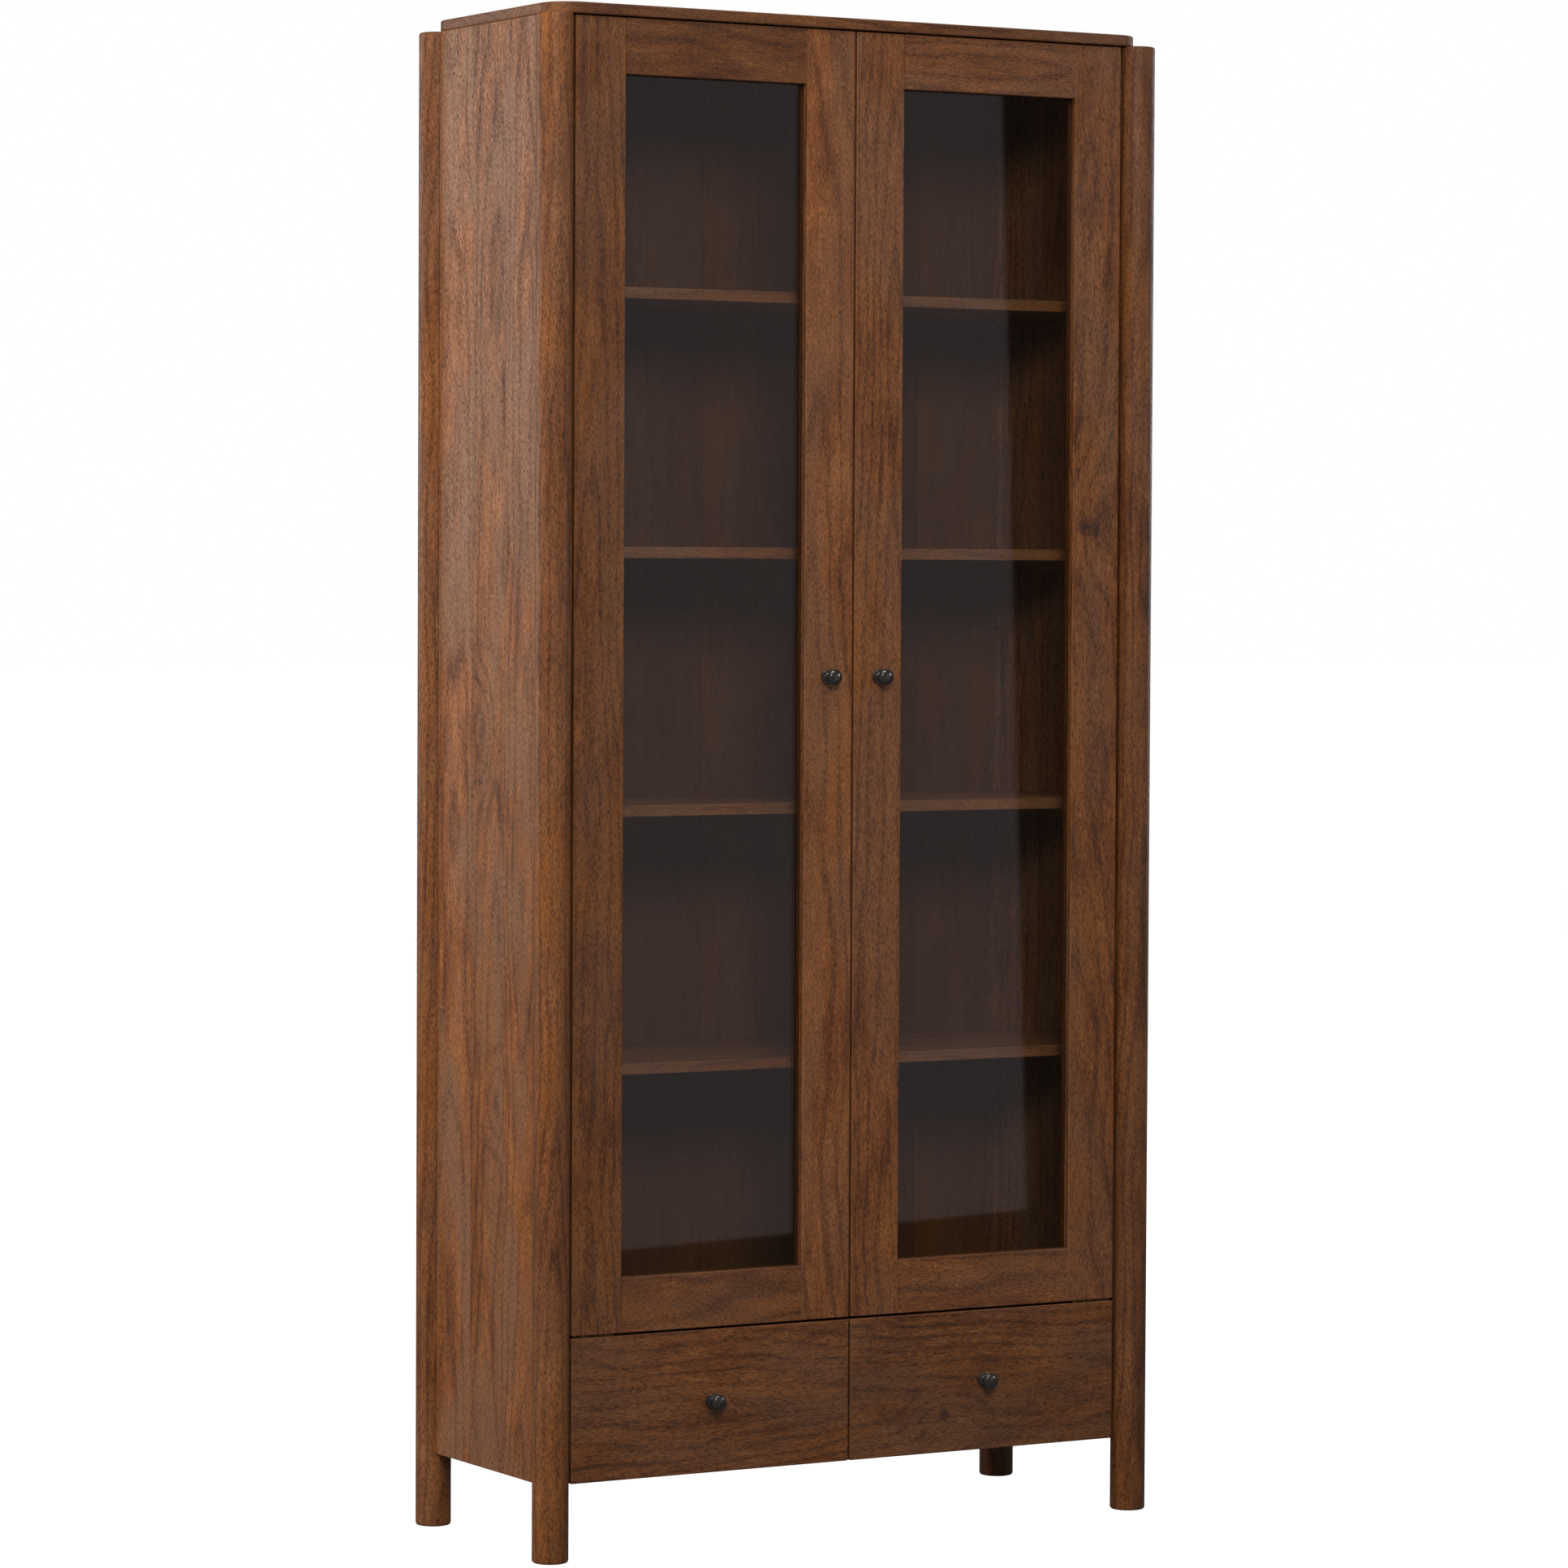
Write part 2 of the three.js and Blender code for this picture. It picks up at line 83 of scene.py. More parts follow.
def roundedOutline(corners, radii, inset, steps=3, hold=0.5 * mm):
    # A polygon drawn anticlockwise and moved in by inset, with an arc at each corner. A corner's arc has
    # its radius less the inset where the corner stands out, and plus the inset where it goes in. A point
    # is held on the straight just beyond each end of an arc, so that flat faces are shaded flat.
    corners = np.asarray(corners, float)
    leaving = np.roll(corners, -1, 0) - corners
    leaving /= np.linalg.norm(leaving, axis=1, keepdims=True)
    arriving = np.roll(leaving, 1, 0)
    inwardB = np.stack([-leaving[:, 1], leaving[:, 0]], 1)
    inwardA = np.roll(inwardB, 1, 0)
    mitre = (inwardA + inwardB) / (1 + (inwardA * inwardB).sum(1, keepdims=True))
    moved = corners + inset * mitre
    turn = np.arctan2(
        arriving[:, 0] * leaving[:, 1] - arriving[:, 1] * leaving[:, 0],
        (arriving * leaving).sum(1),
    )
    way = np.where(turn >= 0, 1.0, -1.0)
    radius = np.maximum(np.broadcast_to(radii, turn.shape) - way * inset, 1e-5)
    reach = (radius * np.tan(np.abs(turn) / 2))[:, None]
    start = moved - arriving * reach
    end = moved + leaving * reach
    centre = start + (way * radius)[:, None] * inwardA
    angle = turn[:, None] * np.linspace(0, 1, steps + 1)[None, :]
    arm = start - centre
    arcX = centre[:, :1] + arm[:, :1] * np.cos(angle) - arm[:, 1:] * np.sin(angle)
    arcY = centre[:, 1:] + arm[:, :1] * np.sin(angle) + arm[:, 1:] * np.cos(angle)
    arcs = np.stack([arcX, arcY], -1)
    before = (start - arriving * hold)[:, None, :]
    beyond = (end + leaving * hold)[:, None, :]
    return np.concatenate([before, arcs, beyond], 1).reshape(-1, 2)


def stand(flat, along, axis):
    # Puts flat points and a height along an axis into three dimensions: a plan along z is drawn in x and
    # y, one along x in y and z, and one along y in x and z.
    level = np.full(len(flat), along)
    columns = {
        "x": (level, flat[:, 0], flat[:, 1]),
        "y": (flat[:, 0], level, flat[:, 1]),
        "z": (flat[:, 0], flat[:, 1], level),
    }
    return np.stack(columns[axis], -1)


def easedEnds(low, high, easing, steps=3, hold=0.5 * mm):
    # Heights and insets up a prism whose end edges are quarter rounds of the easing's radius.
    bend = np.linspace(0, math.pi / 2, steps + 1)
    rise = np.concatenate([[0], easing * (1 - np.cos(bend)), [easing + hold]])
    inset = np.concatenate([[easing + hold], easing * (1 - np.sin(bend)), [0]])
    return list(zip(low + rise, inset)) + list(zip(high - rise[::-1], inset[::-1]))


def prism(name, corners, low, high, axis, easing, radii=None, steps=3):
    # A polygon carried along an axis, with all its edges eased.
    radii = easing + 0.2 * mm if radii is None else radii
    rings = [
        stand(roundedOutline(corners, radii, inset, steps), along, axis)
        for along, inset in easedEnds(low, high, easing)
    ]
    return loft(name, rings)


def rectangle(low, high):
    # Four corners, anticlockwise from the lowest.
    return [(low[0], low[1]), (high[0], low[1]), (high[0], high[1]), (low[0], high[1])]


def board(name, low, high, easing):
    # A planed board between two corners, drawn as its broad face and carried through its thickness.
    size = np.subtract(high, low)
    thin = int(np.argmin(size))
    broad = [k for k in range(3) if k != thin]
    corners = rectangle([low[k] for k in broad], [high[k] for k in broad])
    return prism(name, corners, low[thin], high[thin], "xyz"[thin], easing)


def turned(name, profile, centre, way, around=56):
    # A profile of [radius, distance] pairs turned about an axis along Y, with way 1 towards the back and
    # -1 towards the front. Its two ends are closed by small flat discs.
    profile = np.asarray(profile, float)
    angle = np.linspace(0, 2 * math.pi, around, endpoint=False)
    across = profile[:, :1] * np.cos(angle)
    up = profile[:, :1] * np.sin(angle)
    along = np.broadcast_to(profile[:, 1:], across.shape)
    points = np.stack([across, along * way, up], -1)
    return loft(name, points + np.asarray(centre, float))


def arc(centreRadius, centreAlong, radius, fromDegrees, toDegrees, steps):
    # Part of a circle in a profile's own [radius, distance] plane.
    angle = np.radians(np.linspace(fromDegrees, toDegrees, steps + 1))
    return np.stack([centreRadius + radius * np.cos(angle), centreAlong + radius * np.sin(angle)], -1)


# Helpers for node trees.


def adder(tree):
    # Returns a function that adds a node, sets its properties, and joins or sets its inputs.
    def add(kind, inputs=None, **settings):
        made = tree.nodes.new("ShaderNode" + kind)
        for key, value in settings.items():
            setattr(made, key, value)
        for socket, value in (inputs or {}).items():
            if isinstance(value, bpy.types.NodeSocket):
                tree.links.new(value, made.inputs[socket])
            else:
                made.inputs[socket].default_value = value
        return made

    return add


def calculator(add):
    # Returns a function that adds a Math node and gives its output.
    def calc(operation, *values, clamp=False):
        made = add("Math", dict(enumerate(values)), operation=operation, use_clamp=clamp)
        return made.outputs[0]

    return calc


def stretched(add, vector, scale, detail=2.0, rough=0.5):
    # Noise whose scale differs along each axis. Returns its value and its colour.
    scaled = add("VectorMath", {0: vector, 1: scale}, operation="MULTIPLY").outputs[0]
    noise = add("TexNoise", {"Vector": scaled, "Scale": 1.0, "Detail": detail, "Roughness": rough})
    return noise.outputs[0], noise.outputs[1]


def ramped(add, value, low, high, start=0.0, end=1.0):
    # Goes smoothly from start to end as the value goes from low to high.
    inputs = {0: value, 1: low, 2: high, 3: start, 4: end}
    return add("MapRange", inputs, interpolation_type="SMOOTHSTEP").outputs[0]


def mixed(add, factor, a, b, kind="MIX"):
    # Colours a and b mixed by factor.
    return add("Mix", {0: factor, 6: a, 7: b}, data_type="RGBA", blend_type=kind).outputs[2]


def rgba(colour):
    # A colour with full alpha.
    return (*colour, 1.0)


# The hardwood, in metres: X runs across the board's face, Y through it and Z along the grain. Each noise
# has how many times a metre it changes along X, Y and Z, how fine it goes, and how rough it is.
woodFigure = {
    "tones": [  # place along the ramp, and colour
        (0.05, (0.042, 0.012, 0.0040)),
        (0.32, (0.088, 0.027, 0.0075)),
        (0.52, (0.130, 0.041, 0.0105)),
        (0.75, (0.178, 0.060, 0.0160)),
        (1.00, (0.250, 0.098, 0.0290)),
    ],
    "middle": 0.60,  # where on that ramp plain wood lies
    "grey": (0.150, 0.069, 0.035),
    "orange": (0.210, 0.072, 0.0140),
    "pore": (0.024, 0.008, 0.0035),
    # the colour of knots and marks, and of the painted shade along the left side panel's joint with the
    # rear post
    "knot": (0.024, 0.009, 0.008),
    "worn": (0.240, 0.110, 0.045),
    "pale": (0.460, 0.300, 0.165),
    "ringWidth": 13 * mm,
    "ringSharpness": 4.0,
    "ringDarkness": 0.17,
    "taper": 0.020,
    "pithDepth": (0.02, 0.07),  # the least depth behind the face, and how much chance adds
    "pithAside": 0.06,
    "knotPull": 0.034,
    "boardTones": (0.87, 0.26),  # the darkest board, and how much chance adds
    "sway": ((7.0, 7.0, 1.9), 2.0, 0.5),
    "swayReach": 0.075,
    "tremble": ((42.0, 42.0, 9.0), 2.0, 0.5),
    "trembleReach": 0.011,
    "bands": ((26.0, 26.0, 9.5), 4.0, 0.64),
    "bandDepth": 1.05,
    "fibres": ((210.0, 210.0, 24.0), 4.0, 0.68),
    "fibreDepth": 1.0,
    "fine": ((700.0, 700.0, 130.0), 2.0, 0.6),
    "fineDepth": 1.1,
    "flecks": ((780.0, 780.0, 190.0), 2.0, 0.55),
    "poreDepth": 0.62,
    "patches": ((15.0, 15.0, 4.2), 3.0, 0.5),
    "mostOrange": 0.50,
    "seamHalfWidths": (0.2 * mm, 0.7 * mm),
    "seamDepth": 0.6,
    "edgeWear": 0.30,
    "roughness": 0.47,
}


def woodGroup():
    # The node group that all wood shares. It gives a colour, a roughness and a height for the bumps.
    look = woodFigure
    tree = bpy.data.node_groups.new("hardwood", "ShaderNodeTree")
    sockets = [
        ("Vector", "Vector"),
        ("Seed", "Float"),
        ("Board width", "Float"),
        ("Tone", "Float"),
        ("Pale", "Float"),
        ("Grey", "Float"),
        ("Contrast", "Float"),
        ("Knot", "Float"),
        ("Spots and shade", "Float"),
        ("Edge", "Float"),
    ]
    for label, kind in sockets:
        tree.interface.new_socket(label, in_out="INPUT", socket_type="NodeSocket" + kind)
    for label, kind in [("Color", "Color"), ("Roughness", "Float"), ("Height", "Float")]:
        tree.interface.new_socket(label, in_out="OUTPUT", socket_type="NodeSocket" + kind)
    add = adder(tree)
    calc = calculator(add)
    given = tree.nodes.new("NodeGroupInput").outputs
    place, width = given["Vector"], given["Board width"]
    split = add("SeparateXYZ", {0: place}).outputs

    # Which glued board this is, how far its own middle is, and what sets it apart from the others.
    count = calc("ADD", calc("DIVIDE", split[0], width), 0.5)
    number = calc("FLOOR", count)
    fraction = calc("SUBTRACT", count, number)
    across = calc("MULTIPLY", calc("SUBTRACT", fraction, 0.5), width)
    nearest = calc("MULTIPLY", calc("MINIMUM", fraction, calc("SUBTRACT", 1.0, fraction)), width)
    seam = ramped(add, nearest, *look["seamHalfWidths"], 1.0, 0.0)
    key = calc("ADD", number, given["Seed"])
    chance = add("TexWhiteNoise", {"W": key}, noise_dimensions="1D").outputs
    fate = add("SeparateXYZ", {0: chance["Color"]}).outputs
    shift = add("VectorMath", {0: chance["Color"], "Scale": 9.0}, operation="SCALE").outputs[0]
    own = add("VectorMath", {0: place, 1: shift}, operation="ADD").outputs[0]

    # Growth rings about a pith behind the face, swayed by slow noise and drawn aside by a knot.
    sway, _ = stretched(add, own, *look["sway"])
    tremble, _ = stretched(add, own, *look["tremble"])
    aside = calc("MULTIPLY", calc("SUBTRACT", fate[0], 0.5), look["pithAside"])
    aside = calc("ADD", across, aside)
    least, more = look["pithDepth"]
    behind = calc("ADD", split[1], calc("ADD", least, calc("MULTIPLY", fate[1], more)))
    pith = calc("SQRT", calc("ADD", calc("MULTIPLY", aside, aside), calc("MULTIPLY", behind, behind)))
    pith = calc("MULTIPLY_ADD", split[2], look["taper"], pith)
    pith = calc("MULTIPLY_ADD", calc("SUBTRACT", sway, 0.5), look["swayReach"], pith)
    pith = calc("MULTIPLY_ADD", calc("SUBTRACT", tremble, 0.5), look["trembleReach"], pith)
    pith = calc("MULTIPLY_ADD", given["Knot"], look["knotPull"], pith)
    wave = calc("SINE", calc("MULTIPLY", pith, 2 * math.pi / look["ringWidth"]))
    ring = calc("POWER", calc("MULTIPLY_ADD", wave, 0.5, 0.5), look["ringSharpness"])

    # Broad bands of colour, fibres, and pores as short flecks along the grain.
    bands, _ = stretched(add, own, *look["bands"])
    fibres, _ = stretched(add, own, *look["fibres"])
    fine, _ = stretched(add, own, *look["fine"])
    flecks, _ = stretched(add, own, *look["flecks"])
    pores = ramped(add, calc("MULTIPLY_ADD", ring, 0.07, flecks), 0.46, 0.66)
    patches, hues = stretched(add, own, *look["patches"])

    level = calc("MULTIPLY", calc("SUBTRACT", bands, 0.5), look["bandDepth"])
    level = calc("MULTIPLY_ADD", calc("SUBTRACT", ring, 0.25), -look["ringDarkness"], level)
    level = calc("MULTIPLY_ADD", calc("SUBTRACT", fibres, 0.5), look["fibreDepth"], level)
    level = calc("MULTIPLY_ADD", calc("SUBTRACT", fine, 0.5), look["fineDepth"], level)
    level = calc("MULTIPLY_ADD", level, given["Contrast"], look["middle"], clamp=True)
    ramp = add("ValToRGB", {0: level})
    stops = ramp.color_ramp.elements
    while len(stops) < len(look["tones"]):
        stops.new(0.5)
    for stop, (position, colour) in zip(stops, look["tones"]):
        stop.position = position
        stop.color = rgba(colour)
    greyness = calc("MULTIPLY", ramped(add, patches, 0.38, 0.62), given["Grey"])
    colour = mixed(add, greyness, ramp.outputs[0], rgba(look["grey"]))
    hue = add("SeparateXYZ", {0: hues}).outputs[1]
    glow = ramped(add, hue, 0.50, 0.68, 0.0, look["mostOrange"])
    colour = mixed(add, glow, colour, rgba(look["orange"]))
    darkest, spread = look["boardTones"]
    boardTone = calc("MULTIPLY_ADD", fate[2], spread, darkest)
    tone = calc("MULTIPLY", boardTone, given["Tone"])
    poreDepth = calc("MULTIPLY", given["Contrast"], look["poreDepth"])
    colour = add("VectorMath", {0: colour, "Scale": tone}, operation="SCALE").outputs[0]
    colour = mixed(add, given["Pale"], colour, rgba(look["pale"]))
    colour = mixed(add, calc("MULTIPLY", pores, poreDepth), colour, rgba(look["pore"]))
    colour = mixed(add, calc("MULTIPLY", seam, look["seamDepth"]), colour, rgba(look["pore"]))
    # Knot cores and marks darken the wood here, and so does the painted shade that one mark stands for.
    colour = mixed(add, given["Spots and shade"], colour, rgba(look["knot"]))
    worn = calc("MULTIPLY", given["Edge"], look["edgeWear"])
    colour = mixed(add, worn, colour, rgba(look["worn"]))

    # Pores, seams and knots are rougher and lie lower than the fibres.
    rough = calc("MULTIPLY_ADD", calc("SUBTRACT", 0.5, fibres), 0.30, look["roughness"])
    rough = calc("MULTIPLY_ADD", pores, 0.22, rough)
    rough = calc("MULTIPLY_ADD", given["Edge"], 0.10, rough, clamp=True)
    height = calc("MULTIPLY_ADD", fibres, 0.30, calc("MULTIPLY", ring, 0.10))
    height = calc("MULTIPLY_ADD", pores, -0.75, height)
    height = calc("MULTIPLY_ADD", seam, -0.90, height)
    height = calc("MULTIPLY_ADD", given["Spots and shade"], -0.60, height)
    out = tree.nodes.new("NodeGroupOutput")
    for socket, value in zip(out.inputs, (colour, rough, height)):
        tree.links.new(value, socket)
    return tree


hardwood = woodGroup()
print("cabinet: wood")
grainOrder = {  # which of x, y and z runs across the face, through it and along the grain
    "upright, facing front": "xyz",
    "upright, facing sideways": "yxz",
    "level, facing front": "zyx",
    "level, lying flat": "yzx",
    "level, facing sideways": "zxy",
}


def emptyMaterial(name):
    # A material with no nodes yet.
    material = bpy.data.materials.new(name)
    material.use_nodes = True
    material.node_tree.nodes.clear()
    return material


plainWood = {  # what a piece's own look may change
    "boardWidth": 4.0,
    "tone": 1.0,
    "pale": 0.0,
    "grey": 0.5,
    "contrast": 1.0,
    "specular": 0.42,
    "coat": 0.06,
    "bump": 0.35,
    "wears": True,
    "knots": [],  # x, y and z from the piece's middle, radius and depth
    "marks": [],  # x, y and z from the piece's middle, half width and half length
}
markForm = {"ragged": 0.8, "solid": 0.45, "depth": 0.95, "ringReach": 4.0, "ringStretch": 0.42}


def woodMaterial(name, lie, centre, seed, ownLook):
    # A piece's own wood: the way its grain lies, the boards that it is glued from, and its knots.
    look = {**plainWood, **ownLook}
    material = emptyMaterial(name)
    tree = material.node_tree
    add = adder(tree)
    calc = calculator(add)
    coordinates = add("TexCoord").outputs
    where = {0: coordinates["Object"], 1: centre}
    fromCentre = add("VectorMath", where, operation="SUBTRACT").outputs[0]
    parts = add("SeparateXYZ", {0: fromCentre}).outputs
    order = ["xyz".index(letter) for letter in grainOrder[lie]]
    grainwise = add("CombineXYZ", {k: parts[order[k]] for k in range(3)}).outputs[0]

    # Eased edges are where the surface faces between two axes.
    facing = add("VectorMath", {0: coordinates["Normal"]}, operation="ABSOLUTE").outputs[0]
    faces = add("SeparateXYZ", {0: facing}).outputs
    most = calc("MAXIMUM", calc("MAXIMUM", faces[0], faces[1]), faces[2])
    edge = ramped(add, most, 0.80, 0.97, 1.0, 0.0) if look["wears"] else 0.0

    # Each knot draws the rings round itself and darkens the wood. A mark only darkens it; one mark on
    # the left side panel is painted shade along its joint with the rear post.
    pull, spotsAndShade = 0.0, 0.0
    ragged, _ = stretched(add, fromCentre, (110.0, 110.0, 110.0), 3.0, 0.6)
    blots = [(*knot[:3], knot[3], knot[3], knot[4], True) for knot in look["knots"]]
    blots += [(*mark, markForm["depth"], False) for mark in look["marks"]]
    for x, y, z, halfWidth, halfLength, depth, isKnot in blots:
        apart = add("VectorMath", {0: fromCentre, 1: (x, y, z)}, operation="SUBTRACT").outputs[0]
        scale = [1 / halfWidth] * 3
        scale[order[2]] = 1 / halfLength
        inside = add("VectorMath", {0: apart, 1: scale}, operation="MULTIPLY").outputs[0]
        distance = add("VectorMath", {0: inside}, operation="LENGTH").outputs["Value"]
        distance = calc("MULTIPLY_ADD", calc("SUBTRACT", ragged, 0.5), markForm["ragged"], distance)
        spotsAndShade = calc("MAXIMUM", spotsAndShade, ramped(add, distance, markForm["solid"], 1.0, depth, 0.0))
        if isKnot:
            scale[order[2]] *= markForm["ringStretch"]
            inside = add("VectorMath", {0: apart, 1: scale}, operation="MULTIPLY").outputs[0]
            around = add("VectorMath", {0: inside}, operation="LENGTH").outputs["Value"]
            pull = calc("ADD", pull, ramped(add, around, 0.0, markForm["ringReach"], 1.0, 0.0))
    inputs = {
        "Vector": grainwise,
        "Seed": seed,
        "Board width": look["boardWidth"],
        "Tone": look["tone"],
        "Pale": look["pale"],
        "Grey": look["grey"],
        "Contrast": look["contrast"],
        "Knot": pull,
        "Spots and shade": spotsAndShade,
        "Edge": edge,
    }
    figure = tree.nodes.new("ShaderNodeGroup")
    figure.node_tree = hardwood
    for socket, value in inputs.items():
        if isinstance(value, bpy.types.NodeSocket):
            tree.links.new(value, figure.inputs[socket])
        else:
            figure.inputs[socket].default_value = value
    bump = {"Height": figure.outputs["Height"], "Strength": look["bump"], "Distance": 0.4 * mm}
    skin = {
        "Base Color": figure.outputs["Color"],
        "Roughness": figure.outputs["Roughness"],
        "Normal": add("Bump", bump).outputs[0],
        "Specular IOR Level": look["specular"],
        "Coat Weight": look["coat"],
        "Coat Roughness": 0.35,
    }
    surface = add("BsdfPrincipled", skin)
    tree.links.new(surface.outputs[0], add("OutputMaterial").inputs[0])
    return material


def noisyMetal(name, look):
    # Metal with cloudy colour, fine scratches in its polish, and bare metal along its edges.
    material = emptyMaterial(name)
    tree = material.node_tree
    add = adder(tree)
    calc = calculator(add)
    place = add("TexCoord").outputs["Object"]
    clouds, _ = stretched(add, place, (220.0, 220.0, 220.0), 3.0)
    brushed, _ = stretched(add, place, look["brushing"], 2.0)
    worn = ramped(add, add("NewGeometry").outputs["Pointiness"], 0.53, 0.60)
    worn = calc("MULTIPLY", worn, ramped(add, clouds, 0.35, 0.65))
    colour = mixed(add, clouds, rgba(look["dark"]), rgba(look["light"]))
    colour = mixed(add, calc("MULTIPLY", worn, look["wear"]), colour, rgba(look["worn"]))
    rough = calc("MULTIPLY_ADD", calc("SUBTRACT", brushed, 0.5), 0.28, look["rough"])
    rough = calc("MULTIPLY_ADD", calc("SUBTRACT", clouds, 0.5), 0.20, rough, clamp=True)
    bump = add("Bump", {"Height": brushed, "Strength": 0.25, "Distance": 0.03 * mm}).outputs[0]
    skin = {"Base Color": colour, "Metallic": look["metallic"], "Roughness": rough, "Normal": bump}
    surface = add("BsdfPrincipled", skin)
    tree.links.new(surface.outputs[0], add("OutputMaterial").inputs[0])
    return material


def glassMaterial(name, look):
    # Both faces of a thin pane: a clear tint, and a reflection that grows from its share when faced
    # squarely by the fifth power of one less the cosine of the angle, alike on the way in and out.
    material = emptyMaterial(name)
    tree = material.node_tree
    add = adder(tree)
    calc = calculator(add)
    place = add("TexCoord").outputs["Object"]
    ripple, _ = stretched(add, place, (7.0, 7.0, 3.0), 1.0)
    dust, _ = stretched(add, place, (90.0, 90.0, 60.0), 4.0)
    bump = add("Bump", {"Height": ripple, "Strength": 1.0, "Distance": look["ripple"]}).outputs[0]
    turnedAway = add("LayerWeight", {"Blend": 0.5}).outputs["Facing"]
    share = calc("POWER", turnedAway, 5.0)
    share = calc("MULTIPLY_ADD", share, 1 - look["gloss"], look["gloss"], clamp=True)
    tint = mixed(add, dust, rgba(look["tint"]), rgba(look["dusty"]))
    rough = calc("MULTIPLY_ADD", dust, 0.02, look["rough"])
    clear = add("BsdfTransparent", {"Color": tint}).outputs[0]
    mirror = add("BsdfGlossy", {"Color": rgba(look["mirror"]), "Roughness": rough, "Normal": bump})
    both = add("MixShader", {0: share, 1: clear, 2: mirror.outputs[0]})
    tree.links.new(both.outputs[0], add("OutputMaterial").inputs[0])
    return material


# Giving each piece its body and material.

bodyOf = {node: body for body, group in frame["record"]["behaviour"]["bodies"].items() for node in group}
seedStep = 7.31
seeds = iter(range(1000))


def finish(piece, node, material):
    # The piece takes the place of a node of the CAD model and moves with that node's body.
    piece.data.materials.append(material)
    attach(piece, bodyOf[node])
    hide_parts(node)


def extra(piece, body, material):
    # A piece that the CAD model leaves out.
    piece.data.materials.append(material)
    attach(piece, body)


def corners(node):
    # The lowest and highest corners of a node of the CAD model.
    low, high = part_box(node)
    return np.array(low), np.array(high)


def wooden(piece, node, lie, look):
    # Gives a piece its own wood. Seeds go by the order in which the pieces are made.
    low, high = corners(node)
    seed = next(seeds) * seedStep
    finish(piece, node, woodMaterial(node + "_wood", lie, tuple((low + high) / 2), seed, look))


# The posts are round bars, grooved for the side and back panels.

postForm = {
    "radius": 22.5 * mm,
    "easing": 3.5 * mm,
    "grooveFloor": 10 * mm,
    "grooveStart": 92.75 * mm,
    "sideGroove": (-12.75 * mm, 6.75 * mm),  # left and right of the axis of a post on the right
    "backGroove": (-5.75 * mm, 6.75 * mm),
    "around": 72,
}
postLook = {"wears": False, "contrast": 1.05, "grey": 0.35}
postTones = {
    "post_front_left": 0.84,
    "post_front_right": 0.74,
    "post_rear_left": 0.84,
    "post_rear_right": 0.80,
}


def grooveCorners(low, high, floor, radius):
    # Across and outward places of a groove's rim, floor corners and other rim, in a frame whose second
    # axis points out of the groove, from its right side to its left.
    rim = [math.sqrt(radius**2 - side**2) for side in (high, low)]
    return np.array([high, high, low, low]), np.array([rim[0], floor, floor, rim[1]])


def postRing(axis, radius, grooves, cut):
    # A circle that dips into each groove where cut is true. Grooves are given in the order in which they
    # are met anticlockwise, each with the direction that it opens in. Each has three strips down either
    # wall and six across its floor.
    down, over = 3, 6
    turns = np.cumsum([0, down, over, down])
    points = turns[-1] + 1
    places = []
    spans = []
    for outward, low, high in grooves:
        across = np.array([outward[1], -outward[0]])
        u, v = grooveCorners(low, high, postForm["grooveFloor"], postForm["radius"])
        step = np.interp(np.arange(points), turns, np.arange(4))
        u, v = np.interp(step, range(4), u), np.interp(step, range(4), v)
        dip = u[:, None] * across + v[:, None] * np.array(outward)
        start = math.atan2(dip[0, 1], dip[0, 0])
        sweep = (math.atan2(dip[-1, 1], dip[-1, 0]) - start) % (2 * math.pi)
        bend = start + np.linspace(0, sweep, points)
        circle = radius * np.stack([np.cos(bend), np.sin(bend)], -1)
        places.append(dip if cut else circle)
        spans.append((start, sweep))
    pieces = []
    for k, (start, sweep) in enumerate(spans):
        pieces.append(places[k])
        begin = start + sweep
        rest = (spans[(k + 1) % len(spans)][0] - begin) % (2 * math.pi)
        count = max(2, round(postForm["around"] * rest / (2 * math.pi)))
        bend = begin + np.linspace(0, rest, count + 1)[1:-1]
        pieces.append(radius * np.stack([np.cos(bend), np.sin(bend)], -1))
    return np.concatenate(pieces) + axis


def post(node, grooves):
    # A round bar with eased ends. Above the foot its grooves run to the top.
    low, high = corners(node)
    axis = (low[:2] + high[:2]) / 2
    radius, easing, foot = postForm["radius"], postForm["easing"], postForm["grooveStart"]
    rings = []
    for along, inset in easedEnds(low[2], foot, easing)[:6]:  # the eased lower end
        rings.append(stand(postRing(axis, radius - inset, grooves, False), along, "z"))
    rings.append(stand(postRing(axis, radius, grooves, False), foot, "z"))
    rings.append(stand(postRing(axis, radius, grooves, True), foot, "z"))
    rings.append(stand(postRing(axis, radius, grooves, True), high[2] - easing, "z"))
    for along, inset in easedEnds(low[2], high[2], easing)[-4:]:  # what lies above the ring just made
        ring = postRing(axis, radius, grooves, True)
        rings.append(stand(axis + (ring - axis) * (1 - inset / radius), along, "z"))
    return loft(node + "_wood", rings)


for side, word in ((-1, "left"), (1, "right")):
    sideGroove = side * np.array(postForm["sideGroove"])
    backGroove = side * np.array(postForm["backGroove"])
    front = [((0, 1), *sorted(sideGroove))]
    back = [((0, -1), *sorted(-sideGroove)), ((-side, 0), *sorted(backGroove))]
    if side > 0:
        back = back[::-1]
    for place, grooves in (("front", front), ("rear", back)):
        node = f"post_{place}_{word}"
        look = dict(postLook, tone=postTones[node])
        wooden(post(node, grooves), node, "upright, facing front", look)
print("cabinet: posts")

# The top, sides, back and inner boards.

